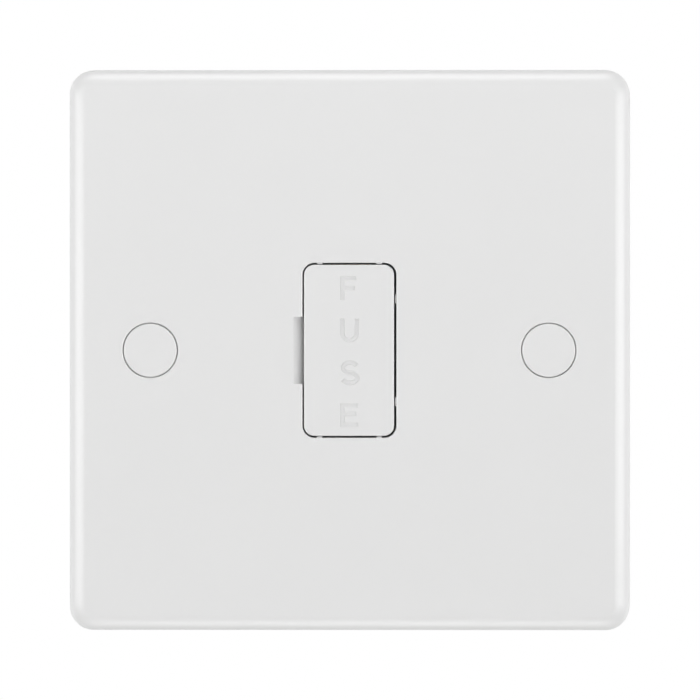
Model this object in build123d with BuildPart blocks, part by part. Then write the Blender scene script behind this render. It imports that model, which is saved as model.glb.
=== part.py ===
from build123d import *
import os

# Single-gang fused connection unit with a pull-out fuse drawer, in millimetres.
# Frame: the unit stands upright on a wall. X is to the right seen from the room, Y points into the
# wall and Z is up. The origin is the centre of the plate, on the wall plane.
# A height h is a distance in front of the wall, so h is -Y, and what lies in the wall has a negative h.

# Face plate: a hollow square moulding with drafted sides and a rounded front edge
plate_side = 86.0
plate_corner_radius = 4.15
plate_projection = 9.5
plate_draft = 4.0
plate_edge_radius = 2.4
plate_front_wall = 2.8
plate_side_wall = 2.6
lip_radius = 0.2
stiffener_thickness = 1.2
stiffener_depth = 2.4
stiffener_spacing = 44.0
stiffener_gap = 0.5

# Fixing screws, their bosses and the round caps over them
fixing_pitch = 60.3
boss_radius = 5.5
boss_setback = 0.4
fixing_hole_radius = 2.15
fixing_thread_radius = 1.75
fixing_neck_radius = 1.6
fixing_thread_length = 17.0
fixing_tip_chamfer = 0.4
fixing_head_radius = 3.3
fixing_head_height = 2.0
fixing_head_edge_radius = 0.7
fixing_head_clearance = 0.4
fixing_head_room = 0.7
fixing_slot_width = 0.9
fixing_slot_depth = 1.0
cap_radius = 4.05
cap_gap = 0.125
cap_thickness = 1.2
cap_seat_clearance = 0.05
cap_skirt_length = 2.2
cap_skirt_wall = 0.9
cap_skirt_clearance = 0.1
cap_slit_width = 1.0

# Cartridge fuse
fuse_length = 25.4
fuse_radius = 3.175
fuse_end_length = 6.0
fuse_end_wall = 0.45
fuse_end_edge_radius = 0.3
fuse_end_clearance = 0.05
fuse_barrel_radius = 2.95

# Contact strips and clips, pressed from one sheet
sheet = 0.8
strip_width = 6.0
link_width = 3.4
clip_width = 5.5
clip_inset = 0.2
clip_clearance = 0.07
clip_bend_radius = 1.0
clip_arm_rise = 2.1
clip_flare_rise = 1.6
clip_flare_out = 0.8
fuse_seat_clearance = 0.1

# Fuse drawer: a front panel, two cheeks with stop barbs and two ribs that hold the fuse barrel
carrier_clip_room = 0.775
carrier_end_margin = 0.25
carrier_corner_radius = 1.55
carrier_panel_thickness = 2.8
carrier_free_travel = 0.1
cheek_thickness = 1.2
cheek_height = 23.0
cheek_wrap = 1.6
stop_arm_height = 8.4
barb_height = 3.6
barb_length = 1.6
barb_land = 0.4
barb_hold = 0.6
stop_clearance = 0.1
saddle_rib_thickness = 2.1
saddle_end_gap = 1.2
saddle_wrap = 1.4
saddle_clearance = 0.1
saddle_grip = 0.2
saddle_spine_thickness = 1.6
lever_lip = 1.2
lever_groove_height = 1.2
lever_groove_depth = 0.9

# Tunnel behind the drawer's opening, with guide ribs and the pry notch beside it
carrier_gap = 0.28
collar_wall = 1.6
collar_side_height = 20.0
collar_clearance = 0.3
stop_slot_clearance = 0.3
guide_rib_proud = 0.18
guide_rib_setback = 0.4
end_rib_width = 0.8
end_rib_spacing = 9.0
side_rib_width = 1.3
side_rib_spacing = 15.6
notch_width = 1.4
notch_height = 10.2
notch_depth = 1.5
fulcrum_proud = 0.2

# Terminals: brass blocks with a tunnel for the conductor, and their captive screws
deck_depth = 5.0
terminal_width = 8.0
terminal_length = 9.0
terminal_chamfer = 0.3
tunnel_radius = 2.15
tunnel_wall = 1.25
thread_wall = 2.2
rivet_radius = 1.2
rivet_proud = 0.3
rivet_clearance = 0.05
terminal_thread_radius = 1.95
terminal_thread_clearance = 0.05
terminal_tip_clearance = 0.1
terminal_tip_chamfer = 0.5
terminal_head_radius = 2.9
terminal_head_height = 1.6
terminal_head_clearance = 0.2
terminal_screw_travel = 3.0
terminal_slot_width = 1.0
terminal_slot_depth = 0.9

# Rear tray that holds the terminals between the two bosses
housing_boss_gap = 1.15
housing_wall = 2.0
housing_corner_radius = 3.0
housing_edge_radius = 0.8
housing_floor_clearance = 1.8
bank_gap = 1.17
bank_wall = 2.35
bank_rear_wall = 1.8
pocket_clearance = 0.15
pocket_wall = 1.3
core_width = 2.6
core_length = 6.0
well_clearance = 0.3
well_floor_clearance = 0.05
access_hold = 0.7
access_chamfer = 0.5
platform_width = 9.2
platform_clearance = 0.5
hold_down_clearance = 0.1
hold_down_side_clearance = 0.2

# Screws that join the tray to the plate's posts
post_radius = 3.0
post_wall_gap = 0.9
post_clearance = 0.1
pilot_radius = 1.25
pilot_depth = 10.0
housing_screw_radius = 1.2
housing_screw_length = 9.0
housing_screw_tip_chamfer = 0.6
housing_screw_head_radius = 2.7
housing_screw_head_height = 1.9
housing_screw_head_edge_radius = 0.6
housing_screw_hole_radius = 1.5

# Heights that follow from the values above
plate_inside = plate_projection - plate_front_wall
cap_back = plate_projection - cap_thickness
cap_seat = cap_back - cap_seat_clearance
skirt_end = cap_back - cap_skirt_length
fixing_head_top = skirt_end - fixing_head_room
fixing_seat = fixing_head_top - fixing_head_height
carrier_back = plate_projection - carrier_panel_thickness
deck = -deck_depth
strip_front = deck + sheet
fuse_axis = strip_front + fuse_seat_clearance + fuse_radius
cheek_end = fuse_axis - cheek_wrap
clip_arm_top = fuse_axis + clip_arm_rise
clip_top = clip_arm_top + clip_flare_rise
carrier_travel = plate_projection - fuse_axis + fuse_radius + carrier_free_travel
barb_front = plate_inside - stop_clearance - carrier_travel
arm_end = barb_front - barb_length
collar_end = strip_front + collar_clearance
collar_side_end = arm_end - collar_clearance
floor_inside = arm_end - housing_floor_clearance
floor_back = floor_inside - housing_wall
post_end = floor_inside + post_clearance
hold_down_end = deck + hold_down_clearance
tunnel_axis = deck - tunnel_wall - tunnel_radius
terminal_back = tunnel_axis - tunnel_radius - thread_wall
screw_tip = tunnel_axis - tunnel_radius - terminal_tip_clearance
head_front = terminal_back - terminal_screw_travel - terminal_head_clearance
head_back = head_front - terminal_head_height
well_floor = head_back - well_floor_clearance
bank_back = well_floor - bank_rear_wall

# Outlines and places that several pieces share
arm_centre = fuse_radius + clip_clearance + sheet / 2
cheek_inner = arm_centre + sheet / 2 + clip_flare_out + carrier_clip_room
carrier_width = 2 * (cheek_inner + cheek_thickness)
carrier_height = fuse_length + 2 * carrier_end_margin
cheek_spacing = 2 * cheek_inner + cheek_thickness
aperture_width = carrier_width + 2 * carrier_gap
aperture_height = carrier_height + 2 * carrier_gap
aperture_corner_radius = carrier_corner_radius + carrier_gap
collar_spacing = aperture_width + collar_wall
stop_slot_height = barb_height + 2 * stop_slot_clearance
barb_reach = aperture_width / 2 + barb_hold
saddle_span = fuse_length - 2 * fuse_end_length - 2 * saddle_end_gap
saddle_radius = fuse_barrel_radius + saddle_clearance
saddle_mouth = fuse_barrel_radius - saddle_grip
fuse_spigot_radius = fuse_radius - fuse_end_wall - fuse_end_clearance
clip_centre = fuse_length / 2 - clip_inset - clip_width / 2
head_bore_radius = fixing_head_radius + fixing_head_clearance
skirt_radius = head_bore_radius - cap_skirt_clearance
hollow_side = plate_side - 2 * plate_side_wall
hollow_corner_radius = plate_corner_radius - plate_side_wall
bank_inner = aperture_height / 2 + collar_wall + bank_gap
housing_height = 2 * (bank_inner + bank_wall + pocket_clearance + terminal_length)
housing_width = fixing_pitch - 2 * boss_radius - 2 * housing_boss_gap
housing_inner_width = housing_width - 2 * housing_wall
housing_inner_height = housing_height - 2 * housing_wall
terminal_pitch = terminal_width + 2 * pocket_clearance + 2 * pocket_wall + core_width
terminal_row = housing_height / 2 - terminal_length / 2
pocket_width = terminal_width + 2 * pocket_clearance
pocket_length = terminal_length + 2 * pocket_clearance
platform_start = saddle_span / 2 + platform_clearance
access_radius = terminal_head_radius - access_hold
post_pitch = housing_inner_width - 2 * post_radius - 2 * post_wall_gap
strip_end = housing_inner_height / 2 - pocket_clearance
strip_hole_radius = rivet_radius + rivet_clearance
link_centre = (aperture_width / 2 + collar_wall + post_pitch / 2 - post_radius) / 2
hold_down_width = pocket_width - 2 * hold_down_side_clearance
hold_down_thickness = housing_wall - 2 * hold_down_side_clearance
stiffener_start = housing_height / 2 + stiffener_gap
stiffener_length = hollow_side / 2 - stiffener_start
stiffener_pitch = hollow_side / 2 + stiffener_start

poles = (("earth", -terminal_pitch), ("live", 0.0), ("neutral", terminal_pitch))
rows = (("feed", 1), ("load", -1))


def facing(h):
    """Sketch plane at height h that faces the room: X to the right, Z up, extrusion towards the room."""
    return Plane.XZ.offset(h)


def across(z):
    """Sketch plane across the unit at z: X to the right and h up, extrusion downwards."""
    return Plane(origin=(0, 0, z), x_dir=(1, 0, 0), z_dir=(0, 0, -1))


os.makedirs("parts", exist_ok=True)

# Face plate
with BuildPart() as faceplate:
    with BuildSketch(facing(0)):
        RectangleRounded(plate_side, plate_side, plate_corner_radius)
    extrude(amount=plate_projection, taper=plate_draft)
    fillet(faceplate.faces().sort_by(Axis.Y)[0].edges(), plate_edge_radius)
    with BuildSketch(facing(0)):
        RectangleRounded(hollow_side, hollow_side, hollow_corner_radius)
    extrude(amount=plate_inside, taper=plate_draft, mode=Mode.SUBTRACT)
    # Bosses, posts for the tray's screws, tongues that hold the terminals down, and stiffeners
    with BuildSketch(facing(boss_setback)):
        with GridLocations(fixing_pitch, 0, 2, 1):
            Circle(boss_radius)
    extrude(amount=plate_inside - boss_setback)
    with BuildSketch(facing(post_end)):
        with GridLocations(post_pitch, 0, 2, 1):
            Circle(post_radius)
    extrude(amount=plate_inside - post_end)
    with BuildSketch(facing(hold_down_end)):
        with GridLocations(terminal_pitch, housing_height - housing_wall, 3, 2):
            Rectangle(hold_down_width, hold_down_thickness)
    extrude(amount=plate_inside - hold_down_end)
    with BuildSketch(facing(plate_inside - stiffener_depth)):
        with GridLocations(stiffener_spacing, stiffener_pitch, 2, 2):
            Rectangle(stiffener_thickness, stiffener_length)
    extrude(amount=stiffener_depth)
    # Tunnel: a collar round the opening whose two side walls reach further back, slit for the barbs
    with BuildSketch(facing(collar_end)):
        RectangleRounded(
            aperture_width + 2 * collar_wall,
            aperture_height + 2 * collar_wall,
            aperture_corner_radius + collar_wall,
        )
    extrude(amount=plate_inside - collar_end)
    with BuildSketch(facing(collar_side_end)):
        with GridLocations(collar_spacing, 0, 2, 1):
            Rectangle(collar_wall, collar_side_height)
    extrude(amount=plate_inside - collar_side_end)
    with BuildSketch(facing(collar_side_end)):
        RectangleRounded(aperture_width, aperture_height, aperture_corner_radius)
    extrude(amount=plate_projection - collar_side_end, mode=Mode.SUBTRACT)
    with BuildSketch(facing(collar_side_end)):
        with GridLocations(collar_spacing, 0, 2, 1):
            Rectangle(2 * collar_wall, stop_slot_height)
    extrude(amount=plate_inside - collar_side_end, mode=Mode.SUBTRACT)
    # Stepped holes for the fixing screws and their caps, and pilot holes in the posts
    with BuildSketch(facing(cap_seat)):
        with GridLocations(fixing_pitch, 0, 2, 1):
            Circle(cap_radius + cap_gap)
    extrude(amount=plate_projection - cap_seat, mode=Mode.SUBTRACT)
    with BuildSketch(facing(fixing_seat)):
        with GridLocations(fixing_pitch, 0, 2, 1):
            Circle(head_bore_radius)
    extrude(amount=cap_seat - fixing_seat, mode=Mode.SUBTRACT)
    with BuildSketch(facing(boss_setback)):
        with GridLocations(fixing_pitch, 0, 2, 1):
            Circle(fixing_hole_radius)
    extrude(amount=fixing_seat - boss_setback, mode=Mode.SUBTRACT)
    with BuildSketch(facing(post_end)):
        with GridLocations(post_pitch, 0, 2, 1):
            Circle(pilot_radius)
    extrude(amount=pilot_depth, mode=Mode.SUBTRACT)
    # Softened lips of the three openings in the face
    fillet(faceplate.faces().sort_by(Axis.Y)[0].inner_wires().edges(), lip_radius)
    # Guide ribs in the tunnel, on three of its sides
    with BuildSketch(facing(collar_end)):
        with GridLocations(end_rib_spacing, aperture_height, 2, 2):
            Rectangle(end_rib_width, 2 * guide_rib_proud)
        with Locations((aperture_width / 2, 0)):
            with GridLocations(0, side_rib_spacing, 1, 2):
                Rectangle(2 * guide_rib_proud, side_rib_width)
    extrude(amount=plate_projection - guide_rib_setback - collar_end)
    # On the fourth side a ledge, and a ramp down to it that lets a blade in behind the drawer's edge
    with BuildSketch(facing(plate_inside)):
        with Locations((-aperture_width / 2, 0)):
            Rectangle(2 * fulcrum_proud, notch_height)
    extrude(amount=plate_front_wall - guide_rib_setback)
    with BuildSketch(across(0)):
        with BuildLine():
            Polyline(
                (-aperture_width / 2 - notch_width, plate_projection),
                (-aperture_width / 2 + fulcrum_proud, plate_projection - notch_depth),
                (-aperture_width / 2 + 2 * fulcrum_proud, plate_projection),
                close=True,
            )
        make_face()
    extrude(amount=notch_height / 2, both=True, mode=Mode.SUBTRACT)
faceplate.part.label = "faceplate"
export_step(faceplate.part, "parts/faceplate.step")

# Fixing screws: pan heads in the bosses, necks through the plate, threads into the wall box
with BuildPart() as fixing_screws:
    with BuildSketch(facing(fixing_seat)):
        with GridLocations(fixing_pitch, 0, 2, 1):
            Circle(fixing_head_radius)
    extrude(amount=fixing_head_height)
    fillet(fixing_screws.edges().group_by(Axis.Y)[0], fixing_head_edge_radius)
    with BuildSketch(facing(fixing_head_top - fixing_slot_depth)):
        with GridLocations(fixing_pitch, 0, 2, 1):
            Rectangle(2 * fixing_head_radius, fixing_slot_width)
    extrude(amount=fixing_slot_depth, mode=Mode.SUBTRACT)
    with BuildSketch(facing(0)):
        with GridLocations(fixing_pitch, 0, 2, 1):
            Circle(fixing_neck_radius)
    extrude(amount=fixing_seat)
    with BuildSketch(facing(-fixing_thread_length)):
        with GridLocations(fixing_pitch, 0, 2, 1):
            Circle(fixing_thread_radius)
    extrude(amount=fixing_thread_length)
    chamfer(fixing_screws.edges().group_by(Axis.Y)[-1], fixing_tip_chamfer)
fixing_screws.part.label = "fixing_screws"
export_step(fixing_screws.part, "parts/fixing_screws.step")

# Caps over the fixing screws: a disc and a skirt slit into four
for side, sign in (("left", -1), ("right", 1)):
    with BuildPart() as screw_cap:
        with BuildSketch(facing(cap_back)):
            with Locations((sign * fixing_pitch / 2, 0)):
                Circle(cap_radius)
        extrude(amount=cap_thickness)
        fillet(screw_cap.faces().sort_by(Axis.Y)[0].edges(), lip_radius)
        with BuildSketch(facing(skirt_end)):
            with Locations((sign * fixing_pitch / 2, 0)):
                Circle(skirt_radius)
                Circle(skirt_radius - cap_skirt_wall, mode=Mode.SUBTRACT)
                Rectangle(2 * skirt_radius, cap_slit_width, mode=Mode.SUBTRACT)
                Rectangle(cap_slit_width, 2 * skirt_radius, mode=Mode.SUBTRACT)
        extrude(amount=cap_skirt_length)
    screw_cap.part.label = f"screw_cap_{side}"
    export_step(screw_cap.part, f"parts/screw_cap_{side}.step")

# Fuse drawer
with BuildPart() as fuse_carrier:
    with BuildSketch(facing(carrier_back)):
        RectangleRounded(carrier_width, carrier_height, carrier_corner_radius)
    extrude(amount=carrier_panel_thickness)
    fillet(fuse_carrier.faces().sort_by(Axis.Y)[0].edges(), lip_radius)
    # Cheeks along both sides, each with a longer arm in the middle
    with BuildSketch(facing(cheek_end)):
        with GridLocations(cheek_spacing, 0, 2, 1):
            Rectangle(cheek_thickness, cheek_height)
    extrude(amount=carrier_back - cheek_end)
    with BuildSketch(facing(arm_end)):
        with GridLocations(cheek_spacing, 0, 2, 1):
            Rectangle(cheek_thickness, stop_arm_height)
    extrude(amount=carrier_back - arm_end)
    # Barbs that stop the drawer behind the plate's front wall
    with BuildSketch(across(0)):
        with BuildLine():
            Polyline(
                (cheek_inner, barb_front),
                (barb_reach, barb_front),
                (barb_reach, barb_front - barb_land),
                (carrier_width / 2, arm_end),
                (cheek_inner, arm_end),
                close=True,
            )
        make_face()
        mirror(about=Plane.YZ)
    extrude(amount=barb_height / 2, both=True)
    # Two ribs, a spine between them and a groove through both that the fuse barrel snaps into
    with BuildSketch(facing(fuse_axis - saddle_wrap)):
        with GridLocations(0, saddle_span - saddle_rib_thickness, 1, 2):
            Rectangle(2 * cheek_inner, saddle_rib_thickness)
    extrude(amount=carrier_back - fuse_axis + saddle_wrap)
    with BuildSketch(facing(fuse_axis)):
        Rectangle(saddle_spine_thickness, saddle_span)
    extrude(amount=carrier_back - fuse_axis)
    with BuildSketch(across(0)):
        with Locations((0, fuse_axis)):
            Circle(saddle_radius)
            Rectangle(2 * saddle_mouth, 2 * saddle_wrap, align=(Align.CENTER, Align.MAX))
    extrude(amount=saddle_span / 2, both=True, mode=Mode.SUBTRACT)
    # Groove behind the left edge for a blade
    with BuildSketch(facing(plate_projection - lever_lip - lever_groove_height)):
        with Locations((-carrier_width / 2, 0)):
            Rectangle(2 * lever_groove_depth, notch_height)
    extrude(amount=lever_groove_height, mode=Mode.SUBTRACT)
fuse_carrier.part.label = "fuse_carrier"
export_step(fuse_carrier.part, "parts/fuse_carrier.step")

# Fuse barrel with a spigot at each end, and the metal caps over the spigots
with BuildPart() as fuse_barrel:
    with BuildSketch(across(0)):
        with Locations((0, fuse_axis)):
            Circle(fuse_barrel_radius)
    extrude(amount=fuse_length / 2 - fuse_end_length, both=True)
    with BuildSketch(across(0)):
        with Locations((0, fuse_axis)):
            Circle(fuse_spigot_radius)
    extrude(amount=fuse_length / 2 - fuse_end_wall - fuse_end_clearance, both=True)
fuse_barrel.part.label = "fuse_barrel"
export_step(fuse_barrel.part, "parts/fuse_barrel.step")

for place, sign in (("upper", 1), ("lower", -1)):
    with BuildPart() as fuse_end_cap:
        with BuildSketch(across(sign * fuse_length / 2)):
            with Locations((0, fuse_axis)):
                Circle(fuse_radius)
        extrude(amount=sign * fuse_end_length)
        outer_edge = fuse_end_cap.edges().sort_by(Axis((0, 0, 0), (0, 0, sign)))[-1]
        fillet(outer_edge, fuse_end_edge_radius)
        with BuildSketch(across(sign * (fuse_length / 2 - fuse_end_wall))):
            with Locations((0, fuse_axis)):
                Circle(fuse_radius - fuse_end_wall)
        extrude(amount=sign * fuse_end_length, mode=Mode.SUBTRACT)
    fuse_end_cap.part.label = f"fuse_end_cap_{place}"
    export_step(fuse_end_cap.part, f"parts/fuse_end_cap_{place}.step")

# Fuse clips: a sprung channel round each end of the fuse, with a tail to the live terminal
for row, sign in rows:
    with BuildPart() as fuse_clip:
        with BuildSketch(across(sign * clip_centre)):
            with BuildLine():
                FilletPolyline(
                    (-arm_centre - clip_flare_out, clip_top),
                    (-arm_centre, clip_arm_top),
                    (-arm_centre, deck + sheet / 2),
                    (arm_centre, deck + sheet / 2),
                    (arm_centre, clip_arm_top),
                    (arm_centre + clip_flare_out, clip_top),
                    radius=clip_bend_radius,
                )
            trace(line_width=sheet)
        extrude(amount=clip_width / 2, both=True)
        with BuildSketch(facing(deck)):
            with Locations((0, sign * (clip_centre + strip_end) / 2)):
                Rectangle(strip_width, strip_end - clip_centre)
            with Locations((0, sign * terminal_row)):
                Circle(strip_hole_radius, mode=Mode.SUBTRACT)
        extrude(amount=sheet)
    fuse_clip.part.label = f"{row}_fuse_clip"
    export_step(fuse_clip.part, f"parts/{row}_fuse_clip.step")

# Links that join the two neutral and the two earth terminals, stepped in past the tray's posts
for pole, sign in (("earth", -1), ("neutral", 1)):
    with BuildPart() as link:
        with BuildSketch(facing(deck)):
            with Locations((sign * link_centre, 0)):
                Rectangle(link_width, 2 * bank_inner + 2 * link_width)
            with Locations((sign * terminal_pitch, 0)):
                with GridLocations(0, strip_end + bank_inner, 1, 2):
                    Rectangle(strip_width, strip_end - bank_inner)
                with GridLocations(0, 2 * terminal_row, 1, 2):
                    Circle(strip_hole_radius, mode=Mode.SUBTRACT)
        extrude(amount=sheet)
    link.part.label = f"{pole}_link"
    export_step(link.part, f"parts/{pole}_link.step")

# Terminal blocks, each with a rivet that holds its strip, and their screws
for row, sign in rows:
    for pole, x in poles:
        with BuildPart() as terminal:
            with BuildSketch(facing(terminal_back)):
                with Locations((x, sign * terminal_row)):
                    Rectangle(terminal_width, terminal_length)
            extrude(amount=deck - terminal_back)
            chamfer(terminal.edges().filter_by(Axis.Y), terminal_chamfer)
            with BuildSketch(across(sign * terminal_row)):
                with Locations((x, tunnel_axis)):
                    Circle(tunnel_radius)
            extrude(amount=terminal_length, both=True, mode=Mode.SUBTRACT)
            with BuildSketch(facing(terminal_back)):
                with Locations((x, sign * terminal_row)):
                    Circle(terminal_thread_radius + terminal_thread_clearance)
            extrude(amount=tunnel_axis - terminal_back, mode=Mode.SUBTRACT)
            with BuildSketch(facing(deck)):
                with Locations((x, sign * terminal_row)):
                    Circle(rivet_radius)
            extrude(amount=sheet + rivet_proud)
        terminal.part.label = f"{row}_{pole}_terminal"
        export_step(terminal.part, f"parts/{row}_{pole}_terminal.step")

        with BuildPart() as terminal_screw:
            with BuildSketch(facing(head_back)):
                with Locations((x, sign * terminal_row)):
                    Circle(terminal_head_radius)
            extrude(amount=terminal_head_height)
            with BuildSketch(facing(head_back)):
                with Locations((x, sign * terminal_row)):
                    Rectangle(2 * terminal_head_radius, terminal_slot_width)
            extrude(amount=terminal_slot_depth, mode=Mode.SUBTRACT)
            with BuildSketch(facing(head_front)):
                with Locations((x, sign * terminal_row)):
                    Circle(terminal_thread_radius)
            extrude(amount=screw_tip - head_front)
            chamfer(terminal_screw.edges().sort_by(Axis.Y)[0], terminal_tip_chamfer)
        terminal_screw.part.label = f"{row}_{pole}_screw"
        export_step(terminal_screw.part, f"parts/{row}_{pole}_screw.step")

# Rear tray: a shallow middle between two deeper banks of terminals
with BuildPart() as terminal_housing:
    with BuildSketch(facing(floor_back)):
        RectangleRounded(housing_width, housing_height, housing_corner_radius)
    extrude(amount=plate_inside - floor_back)
    with BuildSketch(facing(bank_back)):
        RectangleRounded(housing_width, housing_height, housing_corner_radius)
        Rectangle(housing_width, 2 * bank_inner, mode=Mode.SUBTRACT)
    extrude(amount=floor_back - bank_back)
    fillet(terminal_housing.edges().group_by(Axis.Y)[-1], housing_edge_radius)
    # Hollow: down to the deck all over, and on down to the floor in the middle, beside the clips' platforms
    with BuildSketch(facing(deck)):
        RectangleRounded(housing_inner_width, housing_inner_height, housing_corner_radius - housing_wall)
    extrude(amount=plate_inside - deck, mode=Mode.SUBTRACT)
    with BuildSketch(facing(floor_inside)):
        Rectangle(housing_inner_width, 2 * bank_inner)
        with GridLocations(0, platform_start + bank_inner, 1, 2):
            Rectangle(platform_width, bank_inner - platform_start, mode=Mode.SUBTRACT)
    extrude(amount=deck - floor_inside, mode=Mode.SUBTRACT)
    # Pockets for the terminal blocks, open to the front and through the top and bottom walls
    with BuildSketch(facing(terminal_back)):
        with GridLocations(terminal_pitch, 2 * terminal_row, 3, 2):
            Rectangle(pocket_width, pocket_length)
    extrude(amount=plate_inside - terminal_back, mode=Mode.SUBTRACT)
    # Wells for the screw heads, and access holes that are smaller than the heads
    with BuildSketch(facing(well_floor)):
        with GridLocations(terminal_pitch, 2 * terminal_row, 3, 2):
            Circle(terminal_head_radius + well_clearance)
    extrude(amount=terminal_back - well_floor, mode=Mode.SUBTRACT)
    with BuildSketch(facing(bank_back)):
        with GridLocations(terminal_pitch, 2 * terminal_row, 3, 2):
            Circle(access_radius)
    extrude(amount=bank_rear_wall, mode=Mode.SUBTRACT)
    # Cored recesses between the pockets, which keep the walls even
    with BuildSketch(facing(well_floor)):
        with GridLocations(terminal_pitch, 2 * terminal_row, 2, 2):
            Rectangle(core_width, core_length)
    extrude(amount=deck - well_floor, mode=Mode.SUBTRACT)
    # Holes for the screws that join the tray to the plate
    with BuildSketch(facing(floor_back)):
        with GridLocations(post_pitch, 0, 2, 1):
            Circle(housing_screw_hole_radius)
    extrude(amount=housing_wall, mode=Mode.SUBTRACT)
    access_rims = terminal_housing.edges().filter_by(GeomType.CIRCLE).group_by(Axis.Y)[-1]
    chamfer(access_rims, access_chamfer)
terminal_housing.part.label = "terminal_housing"
export_step(terminal_housing.part, "parts/terminal_housing.step")

# Screws through the tray's floor into the plate's posts
with BuildPart() as housing_screws:
    with BuildSketch(facing(floor_back - housing_screw_head_height)):
        with GridLocations(post_pitch, 0, 2, 1):
            Circle(housing_screw_head_radius)
    extrude(amount=housing_screw_head_height)
    fillet(housing_screws.edges().group_by(Axis.Y)[-1], housing_screw_head_edge_radius)
    with BuildSketch(facing(floor_back)):
        with GridLocations(post_pitch, 0, 2, 1):
            Circle(housing_screw_radius)
    extrude(amount=housing_screw_length)
    chamfer(housing_screws.edges().group_by(Axis.Y)[0], housing_screw_tip_chamfer)
housing_screws.part.label = "housing_screws"
export_step(housing_screws.part, "parts/housing_screws.step")
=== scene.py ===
"""Looks of a single-gang fused connection unit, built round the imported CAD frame.

Frame: X is to the right seen from the room, Y points into the wall and Z is up. The origin is the
centre of the plate, on the wall plane. Sizes are in millimetres, and Blender gets them in metres. A
height h is a distance in front of the wall, so h is -Y.
"""

import logging
import math
from collections.abc import Iterable
from dataclasses import dataclass
from enum import Enum

import bmesh
import bpy
import numpy as np
from mathutils import Matrix, Vector
from numpy.typing import NDArray


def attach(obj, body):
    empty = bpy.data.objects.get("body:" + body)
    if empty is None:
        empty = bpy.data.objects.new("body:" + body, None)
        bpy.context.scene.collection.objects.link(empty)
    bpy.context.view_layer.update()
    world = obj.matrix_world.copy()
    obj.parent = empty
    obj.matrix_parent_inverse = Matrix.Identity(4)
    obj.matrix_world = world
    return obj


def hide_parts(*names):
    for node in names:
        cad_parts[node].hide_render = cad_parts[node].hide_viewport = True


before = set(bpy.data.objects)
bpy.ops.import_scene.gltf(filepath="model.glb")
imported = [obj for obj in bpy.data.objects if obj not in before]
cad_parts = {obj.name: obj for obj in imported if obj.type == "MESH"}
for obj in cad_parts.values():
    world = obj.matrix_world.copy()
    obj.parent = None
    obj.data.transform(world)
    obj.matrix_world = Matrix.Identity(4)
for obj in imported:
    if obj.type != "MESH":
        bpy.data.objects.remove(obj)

Array = NDArray[np.float64]
Faces = list[list[int]]
Shell = tuple[Array, Faces]
Place = tuple[float, float]
Setting = bpy.types.NodeSocket | float | tuple[float, ...]
Inputs = dict[str | int, Setting]

METRES = 0.001
MERGE_DISTANCE = 1e-7  # metres within which points are one
SQUARE_COSINE = 0.99995  # a face whose normal is this near an axis lies square to the frame

# The sRGB curve
SRGB_KNEE = 0.04045
SRGB_SLOPE = 12.92
SRGB_OFFSET = 0.055
SRGB_GAMMA = 2.4
WHITE = (1.0, 1.0, 1.0, 1.0)

# Sockets of a Mix node that mixes colours
MIX_SHARE = 0
MIX_FIRST = 6
MIX_SECOND = 7
MIX_RESULT = 2

# Places that several pieces share
FACE = 9.5
TRAY_BACK = -12.5
POLES = {"earth": -13.5, "live": 0.0, "neutral": 13.5}
ROWS = {"feed": 23.0, "load": -23.0}
FIXING_PLACES = [(-30.15, 0.0), (30.15, 0.0)]
TRAY_SCREW_PLACES = [(-17.6, 0.0), (17.6, 0.0)]

log = logging.getLogger("fused_unit")


class Body(Enum):
    """Bodies of the CAD frame that new pieces ride on."""

    UNIT = "unit"
    DRAWER = "fuse_drawer"


class Slot(Enum):
    """Material slots of the record that new pieces fill."""

    WHITE_MOULDING = "white_moulding"
    GREY_TRAY = "grey_tray"
    PLATED_STEEL = "plated_steel"


class Sign(Enum):
    """Marks that name a terminal's pole."""

    LIVE = "live"
    NEUTRAL = "neutral"
    EARTH = "earth"


class Recess(Enum):
    """Drives of the screw heads."""

    SLOT = "slot"
    CROSS = "cross"


def linear(colour: str) -> tuple[float, float, float, float]:
    """Turns an sRGB hex colour into linear light.

    Args:
        colour: Six hex digits after a hash sign.

    Returns:
        Linear red, green and blue, and an alpha of one.
    """
    coded = np.array([int(colour[i : i + 2], 16) for i in (1, 3, 5)]) / 255
    curved = ((coded + SRGB_OFFSET) / (1 + SRGB_OFFSET)) ** SRGB_GAMMA
    light = np.where(coded <= SRGB_KNEE, coded / SRGB_SLOPE, curved)
    return (*light.tolist(), 1.0)


def add_node(
    tree: bpy.types.NodeTree, kind: str, inputs: Inputs | None = None, **settings: object
) -> bpy.types.Node:
    """Adds a node with its settings, values and links.

    Args:
        tree: Node tree that gets the node.
        kind: Blender's name for the node's type.
        inputs: Value, or socket to link from, for each input by its name or number.
        **settings: Properties of the node itself.

    Returns:
        The new node.
    """
    node = tree.nodes.new(kind)
    for name, value in settings.items():
        setattr(node, name, value)
    for name, value in (inputs or {}).items():
        if isinstance(value, bpy.types.NodeSocket):
            tree.links.new(value, node.inputs[name])
        else:
            node.inputs[name].default_value = value
    return node


def per_metre(size: float) -> float:
    """Texture scale that gives a feature of this size in millimetres."""
    return 1 / (size * METRES)


def new_material(name: str) -> bpy.types.Material:
    """Makes an empty node material.

    Args:
        name: Name of the material.

    Returns:
        The new material.
    """
    material = bpy.data.materials.new(name)
    material.use_nodes = True
    material.node_tree.nodes.clear()
    return material


def close_material(material: bpy.types.Material, inputs: Inputs) -> bpy.types.Material:
    """Ends a material's tree with a Principled shader that has these inputs.

    Args:
        material: Material whose tree is ready.
        inputs: Values and links of the shader.

    Returns:
        The same material.
    """
    tree = material.node_tree
    shader = add_node(tree, "ShaderNodeBsdfPrincipled", inputs)
    add_node(tree, "ShaderNodeOutputMaterial", {"Surface": shader.outputs["BSDF"]})
    return material


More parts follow.
